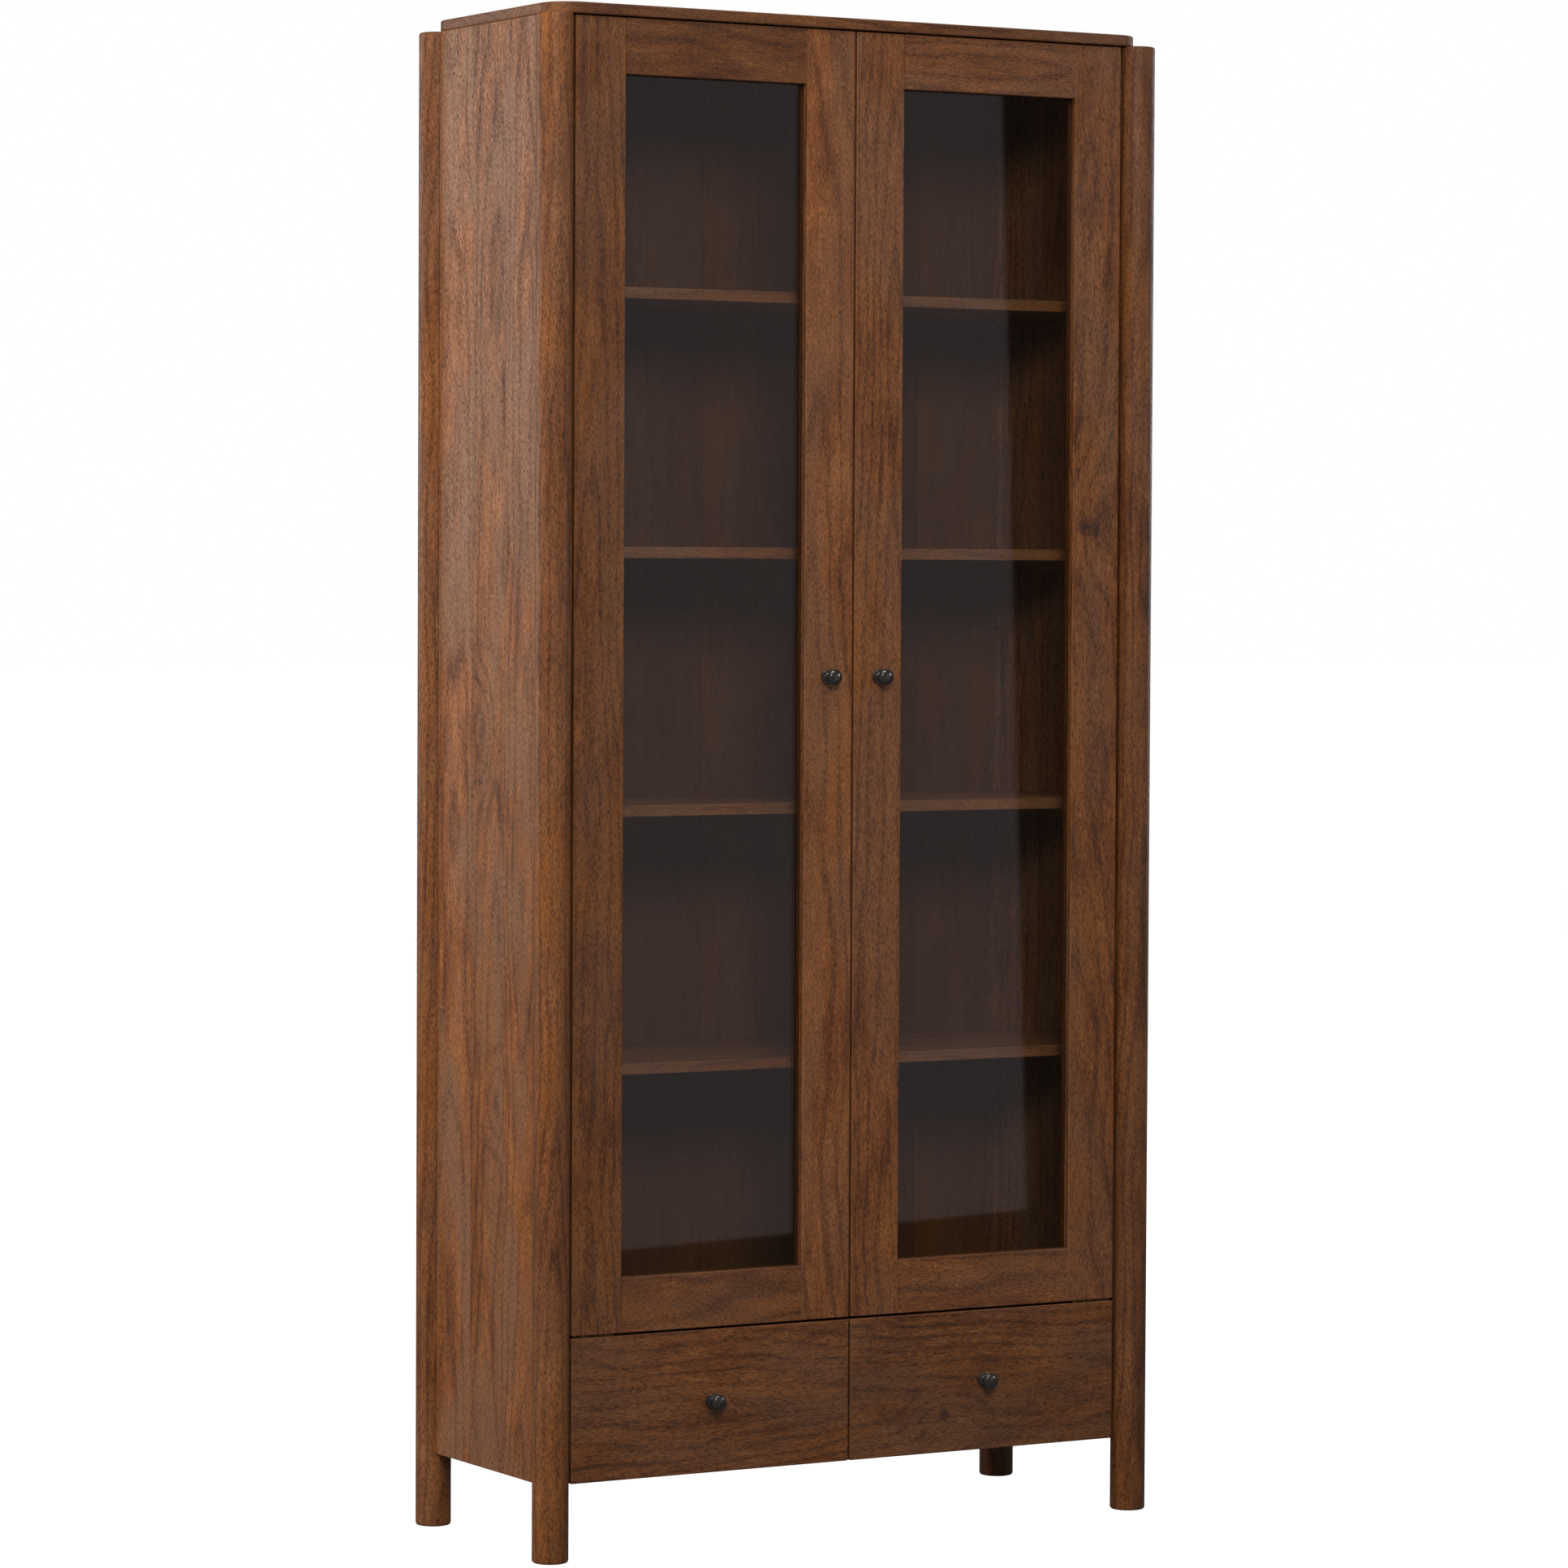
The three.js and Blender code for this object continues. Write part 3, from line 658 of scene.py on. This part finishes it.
boardForm = {
    "topCorner": 39 * mm,
    "topEasing": 2 * mm,
    "edge": 1.0 * mm,
    "innerEdge": 0.8 * mm,
    "relief": 0.15 * mm,  # how far wood stays behind a hinge leaf that is let in flush
}
boardLooks = {
    "top": {"boardWidth": 0.088, "contrast": 1.0, "tone": 0.66},
    "side": {"boardWidth": 0.088, "contrast": 1.1, "tone": 1.16, "grey": 0.9},
    "back": {"boardWidth": 0.082, "contrast": 0.40, "tone": 0.5, "coat": 0.0, "specular": 0.25},
    "inner": {"boardWidth": 0.094, "contrast": 0.7, "tone": 1.18, "coat": 0.0},
    # The deck's low tone is painted shade: it darkens the deck, which lies in shadow behind the doors'
    # bottom rails.
    "deck": {"boardWidth": 0.094, "contrast": 0.7, "tone": 0.38, "coat": 0.0, "specular": 0.2},
    "rail": {"contrast": 0.9, "tone": 0.9},
}
low, high = corners("top_board")
low[2] += boardForm["relief"]
topPlan = rectangle(low[:2], high[:2])
easing, corner = boardForm["topEasing"], boardForm["topCorner"]
topBoard = prism("top_board_wood", topPlan, low[2], high[2], "z", easing, corner, steps=12)
wooden(topBoard, "top_board", "level, lying flat", boardLooks["top"])

for node in ("side_panel_left", "side_panel_right"):
    piece = board(node + "_wood", *corners(node), boardForm["edge"])
    look = dict(boardLooks["side"])
    if node == "side_panel_left":
        face = -9.5 * mm
        look["knots"] = [
            (face, 16 * mm, 20 * mm, 12 * mm, 0.30),
            (face, -22 * mm, -440 * mm, 10 * mm, 0.2),
        ]
        look["marks"] = [
            (face, 59.5 * mm, 803 * mm, 2.0 * mm, 8 * mm),
            (face, 138 * mm, 0.0, 1.6 * mm, 4.0),  # painted shade along the panel's joint with the rear post
        ]
    wooden(piece, node, "upright, facing sideways", look)
piece = board("back_panel_wood", *corners("back_panel"), boardForm["edge"])
wooden(piece, "back_panel", "upright, facing front", boardLooks["back"])
piece = board("door_stop_rail_wood", *corners("door_stop_rail"), boardForm["innerEdge"])
wooden(piece, "door_stop_rail", "level, facing front", boardLooks["rail"])
piece = board("drawer_divider_wood", *corners("drawer_divider"), boardForm["innerEdge"])
wooden(piece, "drawer_divider", "level, facing sideways", boardLooks["inner"])

notch = (399.5 * mm, 138.5 * mm)  # the corners cut out for the rear posts


def innerPlan(low, high):
    # The plan of a board between the side panels, notched round the rear posts.
    rim = [(high[0], low[1]), (high[0], notch[1]), notch, (notch[0], high[1])]
    left = [(-x, y) for x, y in rim[::-1]]
    return left[-1:] + rim + left[:-1]


for node in ("shelf_1", "shelf_2", "shelf_3", "shelf_4", "bottom_panel", "deck_panel"):
    low, high = corners(node)
    if node == "deck_panel":
        low[1] += boardForm["relief"]
    plan = innerPlan(low, high)
    piece = prism(node + "_wood", plan, low[2], high[2], "z", boardForm["innerEdge"])
    # The deck panel takes the darker look of painted shade.
    look = boardLooks["deck" if node == "deck_panel" else "inner"]
    wooden(piece, node, "level, lying flat", look)
for word in ("left", "right"):
    for number in range(1, 5):
        node = f"shelf_cleat_{word}_{number}"
        piece = board(node + "_wood", *corners(node), boardForm["innerEdge"])
        wooden(piece, node, "level, facing sideways", boardLooks["inner"])
print("cabinet: case boards")

# Metals and glass.

metalLooks = {
    "dark": {
        "dark": (0.085, 0.083, 0.083),
        "light": (0.160, 0.156, 0.155),
        "worn": (0.36, 0.33, 0.30),
        "wear": 0.4,
        "brushing": (700.0, 700.0, 90.0),
        "rough": 0.22,
        "metallic": 0.85,
    },
    "brass": {
        "dark": (0.075, 0.050, 0.022),
        "light": (0.170, 0.115, 0.050),
        "worn": (0.50, 0.36, 0.16),
        "wear": 0.5,
        "brushing": (60.0, 900.0, 900.0),
        "rough": 0.34,
        "metallic": 1.0,
    },
    "magnet": {
        "dark": (0.36, 0.36, 0.37),
        "light": (0.56, 0.56, 0.57),
        "worn": (0.75, 0.75, 0.75),
        "wear": 0.4,
        "brushing": (900.0, 120.0, 900.0),
        "rough": 0.30,
        "metallic": 1.0,
    },
}
darkMetal = noisyMetal("dark_metal", metalLooks["dark"])
brass = noisyMetal("brass", metalLooks["brass"])
magnetMetal = noisyMetal("magnet_metal", metalLooks["magnet"])
glassLook = {
    "tint": (0.90, 0.92, 0.915),
    "dusty": (0.87, 0.89, 0.885),
    "mirror": (1.0, 1.0, 1.0),
    "gloss": 0.045,  # the share reflected when faced squarely
    "rough": 0.012,
    "ripple": 0.01 * mm,
}
clearGlass = glassMaterial("clear_glass", glassLook)

# The doors are frames of stiles and rails round a pane held by a bead.

doorForm = {
    "back": -138 * mm,
    "easing": 1.2 * mm,
    "jointEasing": 0.12 * mm,
    "rebate": 8 * mm,
    "rebateY": -149 * mm,
    "rebateEnds": (336 * mm, 1824 * mm),
    "tenon": 30 * mm,
    "glassEdge": 0.6 * mm,
    "beadWidth": 7.5 * mm,
}
doorLooks = {
    "stile": {"contrast": 1.0},
    "rail": {"contrast": 1.0},
    "bead": {"contrast": 0.5, "tone": 0.6},
}
doorTones = {
    "left_door_hinge_stile": 0.88,
    "left_door_meeting_stile": 1.18,
    "left_door_top_rail": 0.76,
    "left_door_bottom_rail": 0.84,
    "right_door_hinge_stile": 1.04,
    "right_door_meeting_stile": 0.98,
    "right_door_top_rail": 0.96,
    "right_door_bottom_rail": 0.94,
}


def stepped(name, sections, axis, easing, endEasing):
    # A prism whose outline changes at certain heights. Each section is its outline, its low end and its
    # high end, and all the outlines have the same number of corners.
    rings = []
    for k, (outline, low, high) in enumerate(sections):
        ends = easedEnds(low, high, endEasing)
        half = len(ends) // 2
        first = ends[:half] if k == 0 else [(low, 0.0)]
        last = ends[half:] if k == len(sections) - 1 else [(high, 0.0)]
        for along, inset in first + last:
            rings.append(stand(roundedOutline(outline, easing, inset), along, axis))
    return loft(name, rings)


def stilePlan(glassX, farX, low, high, rebated):
    # A stile's plan, with a corner taken out behind the glass where it is rebated.
    way = 1 if farX > glassX else -1
    seat = glassX + way * doorForm["rebate"]
    step = doorForm["rebateY"]
    inside = (seat, step) if rebated else (glassX, high)
    plan = [(glassX, low), (farX, low), (farX, high), (seat, high), inside, (glassX, step)]
    return plan if way > 0 else plan[::-1]


def railSection(glassZ, farZ, low, high):
    # A rail's section in y and z, with the same corner taken out.
    way = 1 if farZ > glassZ else -1
    seat = glassZ + way * doorForm["rebate"]
    step = doorForm["rebateY"]
    plan = [(low, glassZ), (step, glassZ), (step, seat), (high, seat), (high, farZ), (low, farZ)]
    return plan if way > 0 else plan[::-1]


def beadRings(low, high, width):
    # The bead's section is carried round the pane's outline. It lies flat against the glass and the
    # rebate, and its free corner is rounded. Each corner of the pane is one mitred ring of the loft.
    roundness = width * 0.45
    bend = np.radians(np.linspace(0, 90, 6))
    inward = np.concatenate([[0, width], width - roundness + roundness * np.cos(bend), [0]])
    front, back = low[1], high[1]
    away = np.concatenate([[front, front], back - roundness + roundness * np.sin(bend), [back]])
    rings = []
    frameCorners = (
        (low[0], low[2], 1, 1),
        (high[0], low[2], -1, 1),
        (high[0], high[2], -1, -1),
        (low[0], high[2], 1, -1),
    )
    for x, z, toX, toZ in frameCorners:
        rings.append(np.stack([x + toX * inward, away, z + toZ * inward], -1))
    return rings


pin = 0.02 * mm  # the radius of the tiny flat disc that closes a turned piece on its axis
knobForm = {
    "neck": 4.5 * mm,
    "headRadius": 10 * mm,
    "headDepth": 5 * mm,
    "baseRadius": 9.5 * mm,
    "baseDepth": 4 * mm,
    "baseEasing": 1 * mm,
    "hollow": 2.4 * mm,
}


def knobProfile(reach):
    # Radius and distance out from the wood: a stepped base, a hollow neck and a flattened round head.
    base, deep, neck = knobForm["baseRadius"], knobForm["baseDepth"], knobForm["neck"]
    soft, curve = knobForm["baseEasing"], knobForm["hollow"]
    middle = reach - knobForm["headDepth"]
    foot = [[pin, 0.0], [base - 0.3 * mm, 0.0], [base, 0.3 * mm], [base, deep - soft]]
    shoulder = arc(base - soft, deep - soft, soft, 10, 90, 5)
    step = [[neck + curve + 0.2 * mm, deep + 0.15 * mm]]
    hollow = arc(neck + curve, deep + curve + 0.3 * mm, curve, 265, 180, 8)
    bend = np.radians(np.linspace(-65, 89.5, 26))
    outward = knobForm["headRadius"] * np.cos(bend)
    along = middle + knobForm["headDepth"] * np.sin(bend)
    return np.concatenate([foot, shoulder, step, hollow, np.stack([outward, along], -1)])


def addKnob(node):
    # A knob turned on the axis of the one in the CAD model. Returns where that axis meets the wood.
    low, high = corners(node)
    centre = ((low[0] + high[0]) / 2, high[1], (low[2] + high[2]) / 2)
    piece = turned(node + "_turned", knobProfile(high[1] - low[1]), centre, -1)
    finish(piece, node, darkMetal)
    return centre


screwForm = {
    "headRadius": 4 * mm,
    "headHeight": 2.4 * mm,
    "domeDegrees": 62,
    "flat": 0.45,  # the part of the head's radius that stays flat on top
    "recessLength": 2.1 * mm,
    "recessHalf": 0.55 * mm,
    "recessDepth": 1.4 * mm,
    "washerRadius": 5.6 * mm,
    "washerThickness": 0.8 * mm,
}


def screwHead(name, centre):
    # A pan head on a thin washer, facing the back: rings about the screw's axis, whose radius inside the
    # recess is that of a cross with square arms.
    form = screwForm
    angle = np.linspace(0, 2 * math.pi, 80, endpoint=False)
    fold = np.abs((angle + math.pi / 4) % (math.pi / 2) - math.pi / 4)
    arm = form["recessLength"] / np.cos(fold)
    cross = np.minimum(arm, form["recessHalf"] / np.maximum(np.sin(fold), 1e-6))
    radius, height, flat = form["headRadius"], form["headHeight"], form["flat"]
    washer, thick = form["washerRadius"], form["washerThickness"]
    top = thick + height
    rings = [(pin, 0.0), (washer, 0.0), (washer, thick * 0.7)]
    rings += [(washer - 0.25 * mm, thick), (radius, thick)]
    bend = np.radians(np.linspace(0, form["domeDegrees"], 7))
    for lean in bend:
        along = thick + height * math.sin(lean) / math.sin(bend[-1])
        rings.append((radius * (flat + (1 - flat) * math.cos(lean)), along))
    floor = top - form["recessDepth"]
    rings += [(cross, top), (cross * 0.93, floor), (cross * 0.02, floor)]
    points = []
    for reach, along in rings:
        level = np.full_like(angle, along)
        points.append(np.stack([reach * np.cos(angle), level, reach * np.sin(angle)], -1) + centre)
    return loft(name, points)


def addKnobScrew(body, centre, back):
    # The screw that holds a knob, on the back of the wood.
    screw = screwHead(body + "_knob_screw", np.array([centre[0], back, centre[2]]))
    extra(screw, body, darkMetal)


for word, side in (("left", -1), ("right", 1)):
    door = word + "_door"
    ends = doorForm["rebateEnds"]
    for stileName in ("hinge_stile", "meeting_stile"):
        node = f"{door}_{stileName}"
        low, high = corners(node)
        low[2] += boardForm["relief"]
        high[2] -= boardForm["relief"]
        glassAtLow = (stileName == "hinge_stile") == (side > 0)
        glassX, farX = (low[0], high[0]) if glassAtLow else (high[0], low[0])
        solid = stilePlan(glassX, farX, low[1], high[1], False)
        cutAway = stilePlan(glassX, farX, low[1], high[1], True)
        sections = [(solid, low[2], ends[0]), (cutAway, *ends), (solid, ends[1], high[2])]
        piece = stepped(node + "_wood", sections, "z", doorForm["easing"], doorForm["easing"])
        look = dict(doorLooks["stile"], tone=doorTones[node])
        if node == "right_door_hinge_stile":
            look["knots"] = [(-12 * mm, -11 * mm, 190 * mm, 19 * mm, 0.60)]
            look["marks"] = [
                (-15 * mm, -11 * mm, 190 * mm, 13 * mm, 3.6 * mm),
                (2 * mm, -11 * mm, 184 * mm, 2.4 * mm, 10.0 * mm),
            ]
        if node == "left_door_hinge_stile":
            look["marks"] = [(-5.5 * mm, -11 * mm, 763 * mm, 1.8 * mm, 11 * mm)]
        wooden(piece, node, "upright, facing front", look)
    for railName in ("top_rail", "bottom_rail"):
        node = f"{door}_{railName}"
        low, high = corners(node)
        glassZ, farZ = (low[2], high[2]) if railName == "top_rail" else (high[2], low[2])
        section = railSection(glassZ, farZ, low[1], high[1])
        span = (low[0] + doorForm["tenon"], high[0] - doorForm["tenon"])
        sections = [(section, *span)]
        piece = stepped(node + "_wood", sections, "x", doorForm["easing"], doorForm["jointEasing"])
        look = dict(doorLooks["rail"], tone=doorTones[node])
        wooden(piece, node, "level, facing front", look)
    node = door + "_glass"
    pane = board(node + "_pane", *corners(node), doorForm["glassEdge"])
    finish(pane, node, clearGlass)
    node = door + "_glazing_bead"
    bead = loft(node + "_wood", beadRings(*corners(node), doorForm["beadWidth"]), wraps=True)
    wooden(bead, node, "upright, facing front", doorLooks["bead"])
    addKnobScrew(door, addKnob(door + "_knob"), doorForm["back"])

# A magnet is let into the stop rail behind each door's free corner, with a steel disc facing it.
catchForm = {"radius": 5.5 * mm, "x": 40 * mm, "z": 1873 * mm, "magnet": 0.4 * mm, "disc": 0.9 * mm}
railFront = corners("door_stop_rail")[0][1]


def thinDisc(name, centre, thick, way):
    # A disc with a softened rim and a shallow dip in its middle.
    radius = catchForm["radius"]
    soft = thick * 0.4
    dip = thick - soft
    profile = [[pin, 0.0], [radius, 0.0], [radius, dip], [radius - soft, thick]]
    profile += [[radius * 0.45, thick], [radius * 0.35, dip], [pin, dip]]
    return turned(name, profile, centre, way)


for word, side in (("left", -1), ("right", 1)):
    x, z = side * catchForm["x"], catchForm["z"]
    magnet = thinDisc(word + "_catch_magnet", (x, railFront, z), catchForm["magnet"], -1)
    extra(magnet, "case", magnetMetal)
    strike = thinDisc(word + "_door_strike", (x, doorForm["back"], z), catchForm["disc"], 1)
    extra(strike, word + "_door", magnetMetal)
print("cabinet: doors")

# The hinge leaves keep the shapes of the CAD model.

for word in ("left", "right"):
    for leaf in ("top_pin_leaf", "bottom_pin_leaf", "top_case_leaf", "bottom_case_bracket"):
        node = frame["nodes"][f"{word}_door_{leaf}"]
        node.data.materials.clear()
        node.data.materials.append(brass)
print("cabinet: hinges")

# The drawers are a solid front on a box of thin pale boards.

drawerForm = {"frontBack": -138 * mm, "easing": 1.2 * mm, "boxEasing": 1.0 * mm}
boxLies = {
    "outer_side": "level, facing sideways",
    "inner_side": "level, facing sideways",
    "back": "level, facing front",
    "bottom": "level, lying flat",
}
drawerLooks = {
    "front": {"contrast": 1.0, "tone": 0.84},
    "box": {"contrast": 0.7, "tone": 0.9, "pale": 0.7, "coat": 0.0},
}
for word, side in (("left", -1), ("right", 1)):
    drawer = word + "_drawer"
    node = drawer + "_front"
    look = dict(drawerLooks["front"])
    if side > 0:
        look["knots"] = [(-58 * mm, -11 * mm, -40 * mm, 9 * mm, 0.6)]
    piece = board(node + "_wood", *corners(node), drawerForm["easing"])
    wooden(piece, node, "level, facing front", look)
    sides = [corners(f"{drawer}_{which}_side") for which in ("outer", "inner")]
    inside = sorted(corner[0] for pair in sides for corner in pair)[1:3]
    for boxPart, lie in boxLies.items():
        node = f"{drawer}_{boxPart}"
        low, high = corners(node)
        if boxPart == "bottom":
            # It lies between the sides and reaches the front. Its tongues are left out.
            low[0], high[0] = inside
            low[1] = drawerForm["frontBack"]
        piece = board(node + "_wood", low, high, drawerForm["boxEasing"])
        wooden(piece, node, lie, drawerLooks["box"])
    node = drawer + "_guide_batten"
    piece = board(node + "_wood", *corners(node), drawerForm["boxEasing"])
    wooden(piece, node, "level, facing sideways", drawerLooks["box"])
    addKnobScrew(drawer, addKnob(drawer + "_knob"), drawerForm["frontBack"])
print("cabinet: drawers")

# Camera, lights and floor.

scene = bpy.context.scene
scene.view_settings.view_transform = "Standard"
cameraPlace = {  # lens in millimetres, place in metres, angles in degrees
    "lens": 130.59,
    "position": (-3.6509, -6.2722, 1.2101),
    "azimuth": -30.16,
    "pitch": 2.13,
    "roll": 0.28,
}
azimuth, pitch, roll = (math.radians(cameraPlace[key]) for key in ("azimuth", "pitch", "roll"))
flat = math.cos(pitch)
ahead = Vector((-math.sin(azimuth) * flat, math.cos(azimuth) * flat, -math.sin(pitch)))
level = Vector((math.cos(azimuth), math.sin(azimuth), 0))
above = level.cross(ahead)
rightward = level * math.cos(roll) + above * math.sin(roll)
upward = above * math.cos(roll) - level * math.sin(roll)
camera = bpy.data.objects.new("camera", bpy.data.cameras.new("camera"))
scene.collection.objects.link(camera)
camera.data.lens = cameraPlace["lens"]
camera.data.clip_end = 100
turn = Matrix((rightward, upward, -ahead)).transposed().to_4x4()
camera.matrix_world = Matrix.Translation(cameraPlace["position"]) @ turn
scene.camera = camera

lightPlan = {
    "shown": (1.0, 1.0, 1.0),  # the background itself
    "sky": (0.16, 0.16, 0.165),  # the light that it gives
    "mirrored": (0.042, 0.034, 0.030),  # what glossy things see of it
    "cardLean": 1.9,  # degrees
}
world = bpy.data.worlds.new("studio")
scene.world = world
world.use_nodes = True
world.node_tree.nodes.clear()
add = adder(world.node_tree)
rays = add("LightPath").outputs
skyColour = mixed(add, rays["Is Glossy Ray"], rgba(lightPlan["sky"]), rgba(lightPlan["mirrored"]))
skyColour = mixed(add, rays["Is Camera Ray"], skyColour, rgba(lightPlan["shown"]))
background = add("Background", {"Color": skyColour, "Strength": 1.0})
world.node_tree.links.new(background.outputs[0], add("OutputWorld").inputs[0])

lamps = {  # place, what it points at, its width and height, power in watts, and colour
    "key": ((-4.8, 0.2, 2.5), (-0.4, 0.0, 1.1), (2.4, 2.2), 240, (1.0, 0.98, 0.96)),
    "fill": ((-2.3, -5.2, 3.3), (0.0, 0.0, 1.1), (2.0, 1.5), 250, (1.0, 0.96, 0.92)),
    "overhead": ((-0.6, -1.9, 4.2), (0.0, 0.0, 1.0), (2.0, 1.0), 45, (1.0, 1.0, 1.0)),
    "edge": ((4.6, 1.4, 2.0), (0.4, 0.0, 1.0), (0.8, 2.4), 40, (0.86, 0.92, 1.0)),
    "behind": ((2.2, 5.6, 3.0), (0.0, 0.0, 1.0), (2.0, 1.6), 120, (1.0, 0.97, 0.94)),
    "sheen": ((-3.2, 4.2, 2.2), (-0.4, 0.0, 1.2), (3.0, 2.2), 62, (1.0, 0.95, 0.88)),
    "card": ((1.224, -2.5, 1.065), (1.224, 0.0, 1.065), (1.04, 2.0), 1.6, (1.0, 0.83, 0.88)),
    "glintLeft": ((-2.8, -5.0, 3.6), (0.0, 0.0, 0.8), (0.45, 0.45), 36, (1.0, 0.92, 0.84)),
    "glintRight": ((4.4, -3.5, 2.4), (0.0, 0.0, 0.8), (0.3, 0.8), 28, (1.0, 0.92, 0.84)),
}
reflectedOnly = ("sheen", "card", "glintLeft", "glintRight")
mirroredLamps = ("overhead", "edge", *reflectedOnly)
for name, (place, target, size, power, colour) in lamps.items():
    lamp = bpy.data.lights.new(name, "AREA")
    lamp.shape = "RECTANGLE"
    lamp.size, lamp.size_y = size
    lamp.energy = power
    lamp.color = colour
    holder = bpy.data.objects.new(name, lamp)
    scene.collection.objects.link(holder)
    aim = (Vector(target) - Vector(place)).to_track_quat("-Z", "Y")
    lean = math.radians(lightPlan["cardLean"]) if name == "card" else 0.0
    facing = aim.to_matrix().to_4x4() @ Matrix.Rotation(lean, 4, "Z")
    holder.matrix_world = Matrix.Translation(place) @ facing
    holder.visible_camera = False
    holder.visible_diffuse = name not in reflectedOnly
    holder.visible_glossy = name in mirroredLamps

floorForm = {"half": 60.0, "colour": (0.36, 0.36, 0.36), "glow": 0.95}
floorMesh = bpy.data.meshes.new("floor")
half = floorForm["half"]
floorCorners = [(x, y, 0) for x, y in rectangle((-half, -half), (half, half))]
floorMesh.from_pydata(floorCorners, [], [(0, 1, 2, 3)])
floor = bpy.data.objects.new("floor", floorMesh)
scene.collection.objects.link(floor)
paint = emptyMaterial("floor_paint")
add = adder(paint.node_tree)
calc = calculator(add)
direct = calc("MULTIPLY", add("LightPath").outputs["Is Camera Ray"], floorForm["glow"])
skin = {"Base Color": rgba(floorForm["colour"]), "Roughness": 0.9}
skin.update({"Emission Color": rgba((1.0, 1.0, 1.0)), "Emission Strength": direct})
paint.node_tree.links.new(add("BsdfPrincipled", skin).outputs[0], add("OutputMaterial").inputs[0])
floorMesh.materials.append(paint)
floor.visible_glossy = False
print("cabinet: camera, lights and floor")
